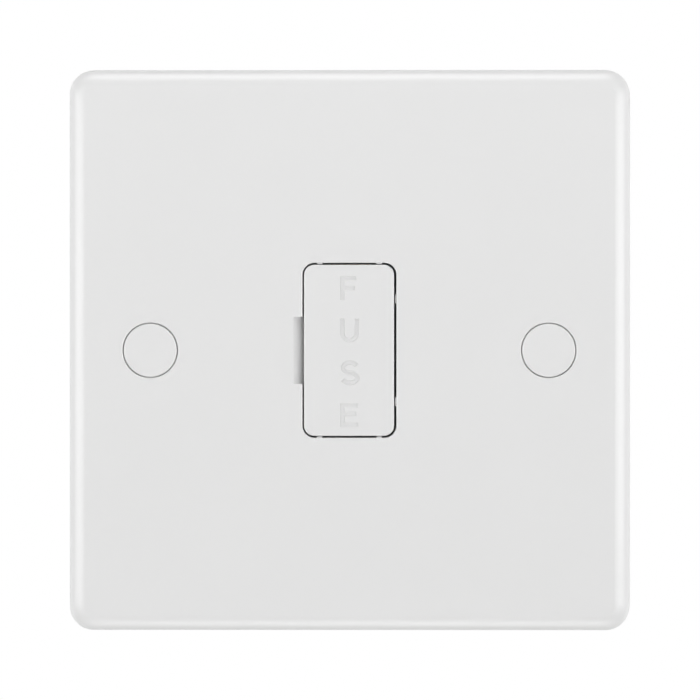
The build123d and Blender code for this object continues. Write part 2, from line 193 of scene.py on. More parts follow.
@dataclass(frozen=True)
class UreaMoulding:
    """Compression-moulded urea resin, polished mould: hard, even white with a soft gloss.

    The eye sees one clean colour, a broad sheen on the rounded edges and, close up, the slight
    ripple of a polished mould.
    """

    name: str = "white_urea_moulding"
    colour: str = "#E1E1E1"
    cloud_colour: str = "#DFDFDF"
    cloud_size: float = 14.0
    gloss: float = 0.285
    dull: float = 0.325
    patch_size: float = 5.0
    patch_detail: float = 3.0
    ripple_size: float = 0.7
    ripple_depth: float = 0.004
    ior: float = 1.55

    def build(self) -> bpy.types.Material:
        """Makes the material: faint clouds of colour, uneven gloss and mould ripple.

        Returns:
            The new material.
        """
        material = new_material(self.name)
        tree = material.node_tree
        place = add_node(tree, "ShaderNodeTexCoord").outputs["Object"]
        cloud = add_node(
            tree, "ShaderNodeTexNoise", {"Vector": place, "Scale": per_metre(self.cloud_size)}
        )
        colour = add_node(
            tree,
            "ShaderNodeMix",
            {
                MIX_SHARE: cloud.outputs["Fac"],
                MIX_FIRST: linear(self.colour),
                MIX_SECOND: linear(self.cloud_colour),
            },
            data_type="RGBA",
        )
        patch = add_node(
            tree,
            "ShaderNodeTexNoise",
            {"Vector": place, "Scale": per_metre(self.patch_size), "Detail": self.patch_detail},
        )
        gloss = add_node(
            tree,
            "ShaderNodeMapRange",
            {"Value": patch.outputs["Fac"], "To Min": self.gloss, "To Max": self.dull},
        )
        ripple = add_node(
            tree, "ShaderNodeTexNoise", {"Vector": place, "Scale": per_metre(self.ripple_size)}
        )
        bump = add_node(
            tree,
            "ShaderNodeBump",
            {"Distance": self.ripple_depth * METRES, "Height": ripple.outputs["Fac"]},
        )
        return close_material(
            material,
            {
                "Base Color": colour.outputs[MIX_RESULT],
                "Roughness": gloss.outputs["Result"],
                "Normal": bump.outputs["Normal"],
                "IOR": self.ior,
            },
        )


@dataclass(frozen=True)
class TrayMoulding:
    """Injection-moulded polyamide, spark-eroded mould: pale grey with a fine satin grain.

    The eye sees a quiet, slightly clouded grey that scatters the light and shows no reflections.
    """

    name: str = "grey_polyamide_moulding"
    colour: str = "#C9CBCC"
    flow_colour: str = "#C0C3C4"
    flow_size: float = 9.0
    flow_detail: float = 3.0
    flow_distortion: float = 0.6
    grain_size: float = 0.25
    grain_detail: float = 4.0
    grain_strength: float = 0.7
    grain_depth: float = 0.012
    roughness: float = 0.48
    ior: float = 1.53

    def build(self) -> bpy.types.Material:
        """Makes the material: slow flow clouds in the colour and a sandy eroded grain.

        The real grain is about 0.05 mm. It is drawn five times coarser, so that it shows.

        Returns:
            The new material.
        """
        material = new_material(self.name)
        tree = material.node_tree
        place = add_node(tree, "ShaderNodeTexCoord").outputs["Object"]
        flow = add_node(
            tree,
            "ShaderNodeTexNoise",
            {
                "Vector": place,
                "Scale": per_metre(self.flow_size),
                "Detail": self.flow_detail,
                "Distortion": self.flow_distortion,
            },
        )
        colour = add_node(
            tree,
            "ShaderNodeMix",
            {
                MIX_SHARE: flow.outputs["Fac"],
                MIX_FIRST: linear(self.colour),
                MIX_SECOND: linear(self.flow_colour),
            },
            data_type="RGBA",
        )
        grain = add_node(
            tree,
            "ShaderNodeTexNoise",
            {
                "Vector": place,
                "Scale": per_metre(self.grain_size),
                "Detail": self.grain_detail,
                "Roughness": self.grain_strength,
            },
        )
        bump = add_node(
            tree,
            "ShaderNodeBump",
            {"Distance": self.grain_depth * METRES, "Height": grain.outputs["Fac"]},
        )
        return close_material(
            material,
            {
                "Base Color": colour.outputs[MIX_RESULT],
                "Roughness": self.roughness,
                "Normal": bump.outputs["Normal"],
                "IOR": self.ior,
            },
        )


@dataclass(frozen=True)
class WorkedMetal:
    """A cut, pressed or plated metal: lines from the tool along one axis and a faint tarnish.

    The eye sees the metal's own colour, a satin streak along the tool lines and duller patches
    where hands or the air have reached it.
    """

    name: str
    colour: str
    tarnish_colour: str
    line_spacing: float
    line_depth: float
    line_stretch: tuple[float, float, float]
    bright: float
    dull: float
    tarnish_size: float = 2.6
    tarnish_detail: float = 4.0

    def build(self) -> bpy.types.Material:
        """Makes the material: stretched noise for the tool lines and clouds for the tarnish.

        Returns:
            The new material.
        """
        material = new_material(self.name)
        tree = material.node_tree
        place = add_node(tree, "ShaderNodeTexCoord").outputs["Object"]
        along = add_node(tree, "ShaderNodeMapping", {"Vector": place, "Scale": self.line_stretch})
        lines = add_node(
            tree,
            "ShaderNodeTexNoise",
            {"Vector": along.outputs["Vector"], "Scale": per_metre(self.line_spacing)},
        )
        tarnish = add_node(
            tree,
            "ShaderNodeTexNoise",
            {
                "Vector": place,
                "Scale": per_metre(self.tarnish_size),
                "Detail": self.tarnish_detail,
            },
        )
        colour = add_node(
            tree,
            "ShaderNodeMix",
            {
                MIX_SHARE: tarnish.outputs["Fac"],
                MIX_FIRST: linear(self.colour),
                MIX_SECOND: linear(self.tarnish_colour),
            },
            data_type="RGBA",
        )
        roughness = add_node(
            tree,
            "ShaderNodeMapRange",
            {"Value": tarnish.outputs["Fac"], "To Min": self.bright, "To Max": self.dull},
        )
        bump = add_node(
            tree,
            "ShaderNodeBump",
            {"Distance": self.line_depth * METRES, "Height": lines.outputs["Fac"]},
        )
        return close_material(
            material,
            {
                "Base Color": colour.outputs[MIX_RESULT],
                "Metallic": 1.0,
                "Roughness": roughness.outputs["Result"],
                "Normal": bump.outputs["Normal"],
            },
        )


@dataclass(frozen=True)
class FiredCeramic:
    """Fired steatite tube of a cartridge fuse: warm white, matt, with a fine fired speckle."""

    name: str = "fired_steatite"
    colour: str = "#EFEBE2"
    speckle_colour: str = "#D9D2C4"
    speckle_size: float = 0.35
    speckle_detail: float = 3.0
    speckle_strength: float = 0.65
    speckle_depth: float = 0.01
    roughness: float = 0.62
    ior: float = 1.6

    def build(self) -> bpy.types.Material:
        """Makes the material: pale speckle in the colour and in the surface.

        Returns:
            The new material.
        """
        material = new_material(self.name)
        tree = material.node_tree
        place = add_node(tree, "ShaderNodeTexCoord").outputs["Object"]
        speckle = add_node(
            tree,
            "ShaderNodeTexNoise",
            {
                "Vector": place,
                "Scale": per_metre(self.speckle_size),
                "Detail": self.speckle_detail,
                "Roughness": self.speckle_strength,
            },
        )
        colour = add_node(
            tree,
            "ShaderNodeMix",
            {
                MIX_SHARE: speckle.outputs["Fac"],
                MIX_FIRST: linear(self.colour),
                MIX_SECOND: linear(self.speckle_colour),
            },
            data_type="RGBA",
        )
        bump = add_node(
            tree,
            "ShaderNodeBump",
            {"Distance": self.speckle_depth * METRES, "Height": speckle.outputs["Fac"]},
        )
        return close_material(
            material,
            {
                "Base Color": colour.outputs[MIX_RESULT],
                "Roughness": self.roughness,
                "Normal": bump.outputs["Normal"],
                "IOR": self.ior,
            },
        )


# Sawn and drilled bar: warm yellow, with the tool's lines upwards
MACHINED_BRASS = WorkedMetal(
    name="machined_brass",
    colour="#DDBB6A",
    tarnish_colour="#C09A4C",
    line_spacing=0.22,
    line_depth=0.006,
    line_stretch=(1.0, 1.0, 0.06),
    bright=0.28,
    dull=0.4,
)
# Rolled spring strip: pinkish brown, with finer lines from the rolls
SPRING_BRONZE = WorkedMetal(
    name="rolled_phosphor_bronze",
    colour="#D69C6E",
    tarnish_colour="#BD8157",
    line_spacing=0.16,
    line_depth=0.004,
    line_stretch=(1.0, 1.0, 0.05),
    bright=0.28,
    dull=0.38,
)
# Bright zinc on steel screws: cool grey, almost without lines
ZINC_PLATE = WorkedMetal(
    name="zinc_plated_steel",
    colour="#B9BFC6",
    tarnish_colour="#A3A9AC",
    line_spacing=0.3,
    line_depth=0.003,
    line_stretch=(1.0, 0.3, 1.0),
    bright=0.28,
    dull=0.4,
)
# Drawn caps of the fuse: warm silver, the shiniest of the metals
NICKEL_PLATE = WorkedMetal(
    name="nickel_plated_brass",
    colour="#D8D4CC",
    tarnish_colour="#C4BEB2",
    line_spacing=0.3,
    line_depth=0.002,
    line_stretch=(0.2, 0.2, 1.0),
    bright=0.14,
    dull=0.26,
)


def dress(names: Iterable[str], material: bpy.types.Material) -> None:
    """Gives CAD nodes this material and reports each.

    Args:
        names: CAD nodes.
        material: Finish of all of them.
    """
    for name in names:
        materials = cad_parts[name].data.materials
        materials.clear()
        materials.append(material)
        log.info("dressed %s in %s", name, material.name)


def in_frame(x: Array | float, h: Array | float, z: Array | float) -> Array:
    """Puts points given as x, height and z in millimetres into the frame.

    Args:
        x: Distance to the right.
        h: Height in front of the wall.
        z: Distance up.

    Returns:
        One row of x, y and z in millimetres for each point.
    """
    x, h, z = np.broadcast_arrays(x, h, z)
    return np.stack([x, -h, z], axis=-1).reshape(-1, 3)


def grid_faces(rows: int, columns: int) -> Faces:
    """Quads of a grid whose points are numbered along its rows.

    Args:
        rows: Points along the first parameter.
        columns: Points along the second parameter.

    Returns:
        Four point numbers for each quad.
    """
    first = (np.arange(rows - 1)[:, None] * columns + np.arange(columns - 1)).ravel()
    corners = [first, first + 1, first + columns + 1, first + columns]
    return np.stack(corners, axis=1).tolist()


def add_piece(name: str, mesh: bpy.types.Mesh) -> bpy.types.Object:
    """Links a new object at the origin to the scene.

    Args:
        name: Name of the object.
        mesh: Its mesh.

    Returns:
        The new object.
    """
    piece = bpy.data.objects.new(name, mesh)
    bpy.context.scene.collection.objects.link(piece)
    return piece


def make_piece(name: str, points: Array, faces: Faces) -> bpy.types.Object:
    """Makes a closed mesh object at the origin from points in millimetres.

    Points that coincide are merged, which closes seams and poles, and the faces are turned
    outwards.

    Args:
        name: Name of the object and its mesh.
        points: One row for each point, in the frame.
        faces: Point numbers of each face.

    Returns:
        The new object, linked to the scene.
    """
    mesh = bpy.data.meshes.new(name)
    mesh.from_pydata(points * METRES, [], faces)
    work = bmesh.new()
    work.from_mesh(mesh)
    bmesh.ops.remove_doubles(work, verts=work.verts, dist=MERGE_DISTANCE)
    bmesh.ops.dissolve_degenerate(work, edges=work.edges, dist=MERGE_DISTANCE)
    bmesh.ops.recalc_face_normals(work, faces=work.faces)
    work.to_mesh(mesh)
    work.free()
    return add_piece(name, mesh)


def points_of(mesh: bpy.types.Mesh) -> Array:
    """Reads the points of a mesh.

    Args:
        mesh: Mesh in metres.

    Returns:
        One row of x, y and z in millimetres for each point.
    """
    points = np.empty(3 * len(mesh.vertices))
    mesh.vertices.foreach_get("co", points)
    return points.reshape(-1, 3) / METRES


def merged_copy(node: str, name: str) -> bpy.types.Object:
    """Copies a CAD node's mesh into a new piece, with its loose triangles merged.

    Args:
        node: CAD node to copy.
        name: Name of the new piece.

    Returns:
        The new object, linked to the scene.
    """
    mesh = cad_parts[node].data
    corners = np.empty(len(mesh.loops), dtype=np.int32)
    mesh.loops.foreach_get("vertex_index", corners)
    return make_piece(name, points_of(mesh), corners.reshape(-1, 3).tolist())


def carve(piece: bpy.types.Object, cutter: bpy.types.Object) -> None:
    """Takes a cutter's shape out of a piece and removes the cutter.

    Args:
        piece: Object that keeps what is left.
        cutter: Closed object that is taken away.
    """
    cut = piece.modifiers.new("carve", "BOOLEAN")
    cut.operation = "DIFFERENCE"
    cut.solver = "EXACT"
    cut.object = cutter
    carved = piece.evaluated_get(bpy.context.evaluated_depsgraph_get())
    mesh = bpy.data.meshes.new_from_object(carved)
    piece.modifiers.clear()
    piece.data = mesh
    bpy.data.objects.remove(cutter)


def smooth(piece: bpy.types.Object, crease: float) -> None:
    """Shades a piece smooth, apart from creases and faces that lie square to the frame.

    Args:
        piece: Mesh object.
        crease: Angle in degrees between two faces past which their edge stays sharp.
    """
    mesh = piece.data
    normals = np.empty(3 * len(mesh.polygons))
    mesh.polygons.foreach_get("normal", normals)
    square = np.abs(normals.reshape(-1, 3)).max(axis=1) > SQUARE_COSINE
    mesh.shade_smooth()
    mesh.set_sharp_from_angle(angle=math.radians(crease))
    mesh.polygons.foreach_set("use_smooth", ~square)
    mesh.update()


def finish_piece(
    piece: bpy.types.Object,
    material: bpy.types.Material,
    body: str,
    nodes: Iterable[str] = (),
) -> None:
    """Gives a new piece its finish, its body and the CAD nodes that it stands for.

    Args:
        piece: New mesh object.
        material: Its finish.
        body: CAD body that it rides on.
        nodes: CAD nodes that it replaces.
    """
    piece.data.materials.clear()
    piece.data.materials.append(material)
    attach(piece, body)
    if nodes:
        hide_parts(*nodes)
    log.info("built %s on %s: %d faces", piece.name, body, len(piece.data.polygons))


def inset(outline: Array, distance: float) -> Array:
    """Moves each side of a closed outline inwards by a distance.

    Each corner moves along the sum of its two sides' inward normals, divided by one plus their dot
    product, which keeps every side parallel to where it was.

    Args:
        outline: Corners in order, anticlockwise.
        distance: How far the sides move, negative for outwards.

    Returns:
        The moved corners.
    """
    sides = np.roll(outline, -1, axis=0) - outline
    sides /= np.linalg.norm(sides, axis=1, keepdims=True)
    after = np.stack([-sides[:, 1], sides[:, 0]], axis=1)
    before = np.roll(after, 1, axis=0)
    scale = distance / (1 + (before * after).sum(axis=1, keepdims=True))
    return outline + (before + after) * scale


def prism(outline: Array, start: float, end: float, taper: float) -> Shell:
    """Carries a closed outline from one height to another, drawn in by a taper at the end.

    Args:
        outline: Corners as x and z, anticlockwise.
        start: Height of the outline as given.
        end: Height of the tapered outline.
        taper: How far the sides are drawn in at the end.

    Returns:
        Points and faces of the closed prism.
    """
    count = len(outline)
    rings = ((outline, start), (inset(outline, taper), end))
    points = np.concatenate([in_frame(ring[:, 0], h, ring[:, 1]) for ring, h in rings])
    here = np.arange(count)
    there = np.roll(here, -1)
    walls = np.stack([here, there, there + count, here + count], axis=1).tolist()
    return points, [*walls, here[::-1].tolist(), (here + count).tolist()]


def join_shells(shells: list[Shell]) -> Shell:
    """Joins several sets of points and faces into one, with the faces renumbered.

    Args:
        shells: Points and faces of each.

    Returns:
        All points and all faces.
    """
    starts = np.cumsum([0, *(len(points) for points, _ in shells)])
    faces = [
        [start + i for i in face] for start, (_, part) in zip(starts, shells) for face in part
    ]
    return np.concatenate([points for points, _ in shells]), faces


def stroke(path: Array, width: float) -> Array:
    """Outline of a pen stroke: the path moved half a width to each side, joined by square ends.

    Args:
        path: Points of the centreline in order.
        width: Width of the stroke.

    Returns:
        Closed outline, anticlockwise.
    """
    along = np.gradient(path, axis=0)
    along /= np.linalg.norm(along, axis=1, keepdims=True)
    across = np.stack([-along[:, 1], along[:, 0]], axis=1) * width / 2
    return np.concatenate([path - across, (path + across)[::-1]])


def ellipse_arc(centre: Place, half_axes: Place, span: Place, steps: int) -> Array:
    """Points on an ellipse: the half axes times the cosine and sine of an angle.

    Args:
        centre: Middle of the ellipse.
        half_axes: Half its width and half its height.
        span: First and last angle in degrees, anticlockwise from the right.
        steps: Number of points.

    Returns:
        One row for each point.
    """
    angle = np.radians(np.linspace(*span, steps))
    return centre + np.stack([np.cos(angle), np.sin(angle)], axis=1) * half_axes


@dataclass
class NotchedPlate:
    """Face plate whose pry notch runs a little deeper beside the drawer than the CAD's."""

    face: float = FACE
    left: float = -8.5
    right: float = -6.9
    half_height: float = 5.1
    cad_depth: float = 1.5
    depth: float = 1.8
    tolerance: float = 0.01

    def build(self, material: bpy.types.Material) -> None:
        """Copies the CAD plate with its shading and scales the depth of the points on the ramp.

        The ramp's depth grows evenly from nought at its left edge to its full depth at its right
        edge.

        Args:
            material: Finish of the plate.
        """
        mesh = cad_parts["faceplate"].data.copy()
        x, y, z = points_of(mesh).T
        sunk = self.face + y
        ramp = self.cad_depth * (x - self.left) / (self.right - self.left)
        beside = (x > self.left - self.tolerance) & (x < self.right + self.tolerance)
        beside &= np.abs(z) < self.half_height + self.tolerance
        on_ramp = beside & (np.abs(sunk - ramp) < self.tolerance)
        y = np.where(on_ramp, sunk * self.depth / self.cad_depth - self.face, y)
        mesh.vertices.foreach_set("co", np.stack([x, y, z], axis=1).ravel() * METRES)
        mesh.update()
        plate = add_piece("faceplate_with_pry_notch", mesh)
        finish_piece(plate, material, Body.UNIT.value, ["faceplate"])


@dataclass
class FuseDrawer:
    """Fuse drawer with the function word sunk into its front, one capital above the next."""

    face: float = FACE
    play: float = 0.06
    word_depth: float = 0.22
    word_draft: float = 12.0
    cutter_rise: float = 0.2
    pen: float = 0.64
    capital: float = 3.6
    pitch: float = 6.4
    left: float = -1.38
    lowest: float = -11.6
    f_width: float = 2.45
    f_arm: float = 2.2
    f_arm_level: float = 1.5
    u_width: float = 2.82
    u_bowl: Place = (180.0, 360.0)
    s_width: float = 2.9
    s_overshoot: float = 0.06
    s_upper_share: float = 0.92
    s_upper_arc: Place = (22.0, 270.0)
    s_lower_arc: Place = (90.0, -160.0)
    e_width: float = 2.7
    e_arm: float = 2.45
    e_arm_level: float = 1.65
    curve_steps: int = 24
    crease: float = 32.0

    def capital_f(self) -> Array:
        """Outline of F: up the right of the stem, round the middle arm and round the top arm.

        Returns:
            Corners in order, anticlockwise.
        """
        pen, arm, level = self.pen, self.f_arm, self.f_arm_level
        top, width = self.capital, self.f_width
        corners = [
            (0, 0),
            (pen, 0),
            (pen, level),
            (arm, level),
            (arm, level + pen),
            (pen, level + pen),
            (pen, top - pen),
            (width, top - pen),
            (width, top),
            (0, top),
        ]
        return np.array(corners)

    def capital_u(self) -> Array:
        """Outline of U: a stroke down, round half an ellipse and up again.

        Returns:
            Corners in order, anticlockwise.
        """
        half = (self.u_width - self.pen) / 2
        middle = (half, half + self.pen / 2)
        bowl = ellipse_arc(middle, (half, half), self.u_bowl, self.curve_steps)
        path = np.concatenate([[(0, self.capital)], bowl, [(2 * half, self.capital)]])
        return stroke(path, self.pen) + (self.pen / 2, 0)

    def capital_s(self) -> Array:
        """Outline of S: a stroke over the top of one ellipse and under the bottom of another.

        Returns:
            Corners in order, anticlockwise.
        """
        half = (self.s_width - self.pen) / 2
        quarter = (self.capital + 2 * self.s_overshoot - self.pen) / 4
        upper = ellipse_arc(
            (half, self.capital / 2 + quarter),
            (half * self.s_upper_share, quarter),
            self.s_upper_arc,
            self.curve_steps,
        )
        lower = ellipse_arc(
            (half, self.capital / 2 - quarter),
            (half, quarter),
            self.s_lower_arc,
            self.curve_steps,
        )
        path = np.concatenate([upper, lower[1:]])
        return stroke(path, self.pen) + (self.pen / 2, 0)

    def capital_e(self) -> Array:
        """Outline of E: round the bottom arm, the middle arm and the top arm.

        Returns:
            Corners in order, anticlockwise.
        """
        pen, arm, level = self.pen, self.e_arm, self.e_arm_level
        top, width = self.capital, self.e_width
        corners = [
            (0, 0),
            (width, 0),
            (width, pen),
            (pen, pen),
            (pen, level),
            (arm, level),
            (arm, level + pen),
            (pen, level + pen),
            (pen, top - pen),
            (width, top - pen),
            (width, top),
            (0, top),
        ]
        return np.array(corners)

    def build(self, material: bpy.types.Material) -> None:
        """Copies the CAD drawer, sinks the word into it and dresses it.

        The drawer sits a little to the left in its opening, as far as its play lets it. Each
        capital is a prism that narrows with depth, as a mould's raised letter does.

        Args:
            material: Finish of the drawer.
        """
        slope = math.tan(math.radians(self.word_draft))
        capitals = [self.capital_e(), self.capital_s(), self.capital_u(), self.capital_f()]
        placed = [
            outline + (self.left, self.lowest + i * self.pitch)
            for i, outline in enumerate(capitals)
        ]
        shells = [
            prism(
                inset(outline, -self.cutter_rise * slope),
                self.face + self.cutter_rise,
                self.face - self.word_depth,
                (self.cutter_rise + self.word_depth) * slope,
            )
            for outline in placed
        ]
        drawer = merged_copy("fuse_carrier", "fuse_drawer_with_word")
        drawer.data.transform(Matrix.Translation((-self.play * METRES, 0, 0)))
        carve(drawer, make_piece("word_cutter", *join_shells(shells)))
        smooth(drawer, self.crease)
        body = Body.DRAWER.value
        finish_piece(drawer, material, body, ["fuse_carrier"])


@dataclass
class Screw:
    """A machine screw as one surface of revolution whose shank carries a helical ridge.

    ``way`` is the direction from the head to the tip along h: -1 into the wall, 1 to the room.
    """

    seat: float
    way: int
    head_radius: float
    head_height: float
    head_round: float
    neck_radius: float
    neck_length: float
    thread_radius: float
    thread_depth: float
    pitch: float
    length: float
    tip_radius: float
    recess: Recess
    recess_width: float
    recess_depth: float
    crest_share: float = 0.2
    columns: int = 64
    rows_per_turn: int = 8
    round_steps: int = 8
    run_out: float = 0.6
    cross_reach: float = 0.55
    cross_taper: float = 0.22
    cutter_rise: float = 0.2
    crease: float = 38.0

    def surface(self, x: float, z: float) -> Shell:
        """Points and faces of the screw at one place.

        A row is a circle of radius r at a distance s from the head's underside. On the thread, s
        grows by one pitch in each turn about the axis, and r rises from the root to a flat crest
        and back in each pitch, fading out at both ends.

        Args:
            x: Place of the axis to the right.
            z: Place of the axis upwards.

        Returns:
            Points and faces of the closed surface.
        """
        angle = np.linspace(0, 2 * np.pi, self.columns + 1)
        bend = np.linspace(0, np.pi / 2, self.round_steps)
        head_r = self.head_radius - self.head_round + self.head_round * np.sin(bend)
        head_s = self.head_round * (1 - np.cos(bend)) - self.head_height
        profile = np.concatenate(
            [
                [(0, -self.head_height)],
                np.stack([head_r, head_s], axis=1),
                [(self.head_radius, 0), (self.neck_radius, 0)],
                [(self.neck_radius, self.neck_length)],
            ]
        )
        plain_r = np.repeat(profile[:, :1], self.columns + 1, axis=1)
        plain_s = np.repeat(profile[:, 1:], self.columns + 1, axis=1)
        turns = (self.length - self.neck_length) / self.pitch + 1
        turn = np.linspace(0, turns, int(turns * self.rows_per_turn) + 1)[:, None]
        share = angle / (2 * np.pi) if self.way > 0 else 1 - angle / (2 * np.pi)
        s = self.neck_length + self.pitch * (turn - 1 + share)
        s = np.clip(s, self.neck_length, self.length)
        ridge = (1 - 2 * np.abs(turn % 1 - 0.5)) / (1 - self.crest_share)
        fade = np.minimum(s - self.neck_length, self.length - s) / self.run_out
        raised = np.clip(ridge, 0, 1) * np.clip(fade, 0, 1)
        r = self.thread_radius - self.thread_depth * (1 - raised)
        end_r = np.repeat([[self.tip_radius], [0.0]], self.columns + 1, axis=1)
        end_s = np.full_like(end_r, self.length)
        r = np.concatenate([plain_r, r, end_r])
        s = np.concatenate([plain_s, s, end_s])
        points = in_frame(x + r * np.cos(angle), self.seat + self.way * s, z + r * np.sin(angle))
        return points, grid_faces(*r.shape)

    def drive(self, x: float, z: float) -> Shell:
        """Points and faces of the cutter for the head's drive at one place.

        A slot is a bar right across the head. A cross is two bars at right angles that narrow with
        depth.

        Args:
            x: Place of the axis to the right.
            z: Place of the axis upwards.

        Returns:
            Points and faces of the closed cutter.
        """
        half = self.recess_width / 2
        if self.recess is Recess.SLOT:
            reach = self.head_radius + self.cutter_rise
            outline = np.array([(-reach, -half), (reach, -half), (reach, half), (-reach, half)])
            taper = 0.0
        else:
            reach = self.head_radius * self.cross_reach
            quarter = np.array([(half, -reach), (half, -half), (reach, -half)])
            turns = ((1, 0), (0, 1), (-1, 0), (0, -1))
            outline = np.concatenate([quarter @ np.array([[c, s], [-s, c]]) for c, s in turns])
            taper = self.cross_taper
        top = self.seat - self.way * self.head_height
        start = top - self.way * self.cutter_rise
        return prism(outline + (x, z), start, top + self.way * self.recess_depth, taper)

    def build(
        self, name: str, places: list[Place], material: bpy.types.Material, body: str, node: str
    ) -> None:
        """Makes one piece with a screw at each place, in the stead of a CAD node.

        Args:
            name: Name of the piece.
            places: x and z of each axis.
            material: Finish of the screws.
            body: CAD body that they ride on.
            node: CAD node that they replace.
        """
        piece = make_piece(name, *join_shells([self.surface(*place) for place in places]))
        drives = join_shells([self.drive(*place) for place in places])
        carve(piece, make_piece("drive_cutter", *drives))
        smooth(piece, self.crease)
        finish_piece(piece, material, body, [node])


FIXING_SCREW = Screw(
    seat=3.4,
    way=-1,
    head_radius=3.3,
    head_height=2.0,
    head_round=0.9,
    neck_radius=1.6,
    neck_length=3.4,
    thread_radius=1.75,
    thread_depth=0.34,
    pitch=0.6,
    length=20.4,
    tip_radius=1.1,
    recess=Recess.SLOT,
    recess_width=0.9,
    recess_depth=1.0,
)
TRAY_SCREW = Screw(
    seat=TRAY_BACK,
    way=1,
    head_radius=2.7,
    head_height=1.9,
    head_round=1.1,
    neck_radius=1.1,
    neck_length=2.0,
    thread_radius=1.2,
    thread_depth=0.3,
    pitch=1.0,
    length=9.0,
    tip_radius=0.6,
    recess=Recess.CROSS,
    recess_width=0.8,
    recess_depth=1.2,
)
CLAMP_SCREW = Screw(
    seat=-15.95,
    way=1,
    head_radius=2.9,
    head_height=1.6,
    head_round=0.25,
    neck_radius=1.7,
    neck_length=0.3,
    thread_radius=1.95,
    thread_depth=0.36,
    pitch=0.7,
    length=5.3,
    tip_radius=1.4,
    recess=Recess.SLOT,
    recess_width=1.0,
    recess_depth=0.9,
)


@dataclass
class TerminalMarks:
    """Raised terminal marks on the back of the tray, read from behind."""

    back: float = TRAY_BACK
    proud: float = 0.35
    root: float = 0.1
    draft: float = 0.06
    height: float = 3.8
    width: float = 2.7
    pen: float = 0.7
    diagonal: float = 1.25
    row: float = 11.8
    earth_bars: tuple[float, float, float] = (3.6, 2.4, 1.2)
    earth_step: float = 1.15

    def outlines(self, sign: Sign) -> list[Array]:
        """Outlines of one mark, centred on nought and read from the front.

        Args:
            sign: Which terminal it names.

        Returns:
            One closed outline for each stroke that stands alone.
        """
        width, height, pen, slant = self.width, self.height, self.pen, self.diagonal
        middle = np.array([width, height]) / 2
        if sign is Sign.LIVE:
            corners = [(0, 0), (width, 0), (width, pen), (pen, pen), (pen, height), (0, height)]
            return [np.array(corners) - middle]
        if sign is Sign.NEUTRAL:
            corners = [
                (0, 0),
                (pen, 0),
                (pen, height - slant),
                (width - pen, 0),
                (width, 0),
                (width, height),
                (width - pen, height),
                (width - pen, slant),
                (pen, height),
                (0, height),
            ]
            return [np.array(corners) - middle]
        square = np.array([(-1, -1), (1, -1), (1, 1), (-1, 1)]) / 2
        stem = square * (pen, height / 2) + (0, height / 4)
        bars = [
            square * (reach, pen) - (0, i * self.earth_step)
            for i, reach in enumerate(self.earth_bars)
        ]
        return [stem, *bars]

    def build(self, material: bpy.types.Material) -> None:
        """Makes all marks as one piece: outlines carried outwards from just inside the wall.

        Args:
            material: Finish of the tray.
        """
        shells = [
            prism(
                (outline * (-1, 1))[::-1] + (x, side * self.row),
                self.back + self.root,
                self.back - self.proud,
                self.draft,
            )
            for side in (1, -1)
            for pole, x in POLES.items()
            for outline in self.outlines(Sign(pole))
        ]
        marks = make_piece("terminal_marks", *join_shells(shells))
        finish_piece(marks, material, Body.UNIT.value)


@dataclass
class EjectorMarks:
    """Round marks of the mould's ejector pins inside the plate, each with a thin raised rim."""

    ceiling: float = 6.7
    radius: float = 2.0
    rim_width: float = 0.3
    rim_proud: float = 0.16
    floor_proud: float = 0.06
    root: float = 0.1
    columns: int = 72
    crease: float = 40.0
    places: tuple[Place, ...] = ((33.0, 33.0), (33.0, 15.0), (9.0, 34.0))

    def surface(self, x: float, z: float) -> Shell:
        """Points and faces of one mark.

        A flat floor, a rim with sloped sides, a third of its width each, and a root in the wall
        are turned about an axis.

        Args:
            x: Place of the axis to the right.
            z: Place of the axis upwards.

        Returns:
            Points and faces of the closed surface.
        """
        inner = self.radius - self.rim_width
        profile = np.array(
            [
                (0, self.floor_proud),
                (inner, self.floor_proud),
                (inner + self.rim_width / 3, self.rim_proud),
                (inner + self.rim_width * 2 / 3, self.rim_proud),
                (self.radius, self.floor_proud),
                (self.radius, -self.root),
                (0, -self.root),
            ]
        )
        angle = np.linspace(0, 2 * np.pi, self.columns + 1)
        r, proud = profile[:, :1], profile[:, 1:]
        points = in_frame(x + r * np.cos(angle), self.ceiling - proud, z + r * np.sin(angle))
        return points, grid_faces(len(profile), self.columns + 1)

    def build(self, material: bpy.types.Material) -> None:
        """Makes all marks as one piece, the same in each quarter of the plate.

        Args:
            material: Finish of the plate.
        """
        shells = [
            self.surface(i * x, j * z) for x, z in self.places for i in (-1, 1) for j in (-1, 1)
        ]
        marks = make_piece("ejector_marks", *join_shells(shells))
        smooth(marks, self.crease)
        finish_piece(marks, material, Body.UNIT.value)


@dataclass
class Softbox:
    """A rectangular lamp that faces the unit, given by its direction and its brightness.

    The azimuth runs to the right from straight in front. A lamp that isn't mirrored lights the
    unit, and shows in none of its glossy surfaces.
    """

    name: str
    radiance: float
    azimuth: float = 0.0
    elevation: float = 0.0
    distance: float = 1000.0
    width: float = 1000.0
    height: float = 1000.0
    mirrored: bool = True

    def build(self) -> None:
        """Places the lamp. Its power is pi times its radiance times its area."""
        turn, rise = math.radians(self.azimuth), math.radians(self.elevation)
        level = math.cos(rise)
        out = Vector((math.sin(turn) * level, -math.cos(turn) * level, math.sin(rise)))
        lamp = bpy.data.lights.new(self.name, "AREA")
        lamp.shape = "RECTANGLE"
        lamp.size = self.width * METRES
        lamp.size_y = self.height * METRES
        lamp.energy = math.pi * self.radiance * lamp.size * lamp.size_y
        holder = bpy.data.objects.new(self.name, lamp)
        holder.location = out * self.distance * METRES
        holder.rotation_euler = out.to_track_quat("Z", "Y").to_euler()
        holder.visible_camera = False
        holder.visible_glossy = self.mirrored
        bpy.context.scene.collection.objects.link(holder)
        log.info("lit %s", self.name)


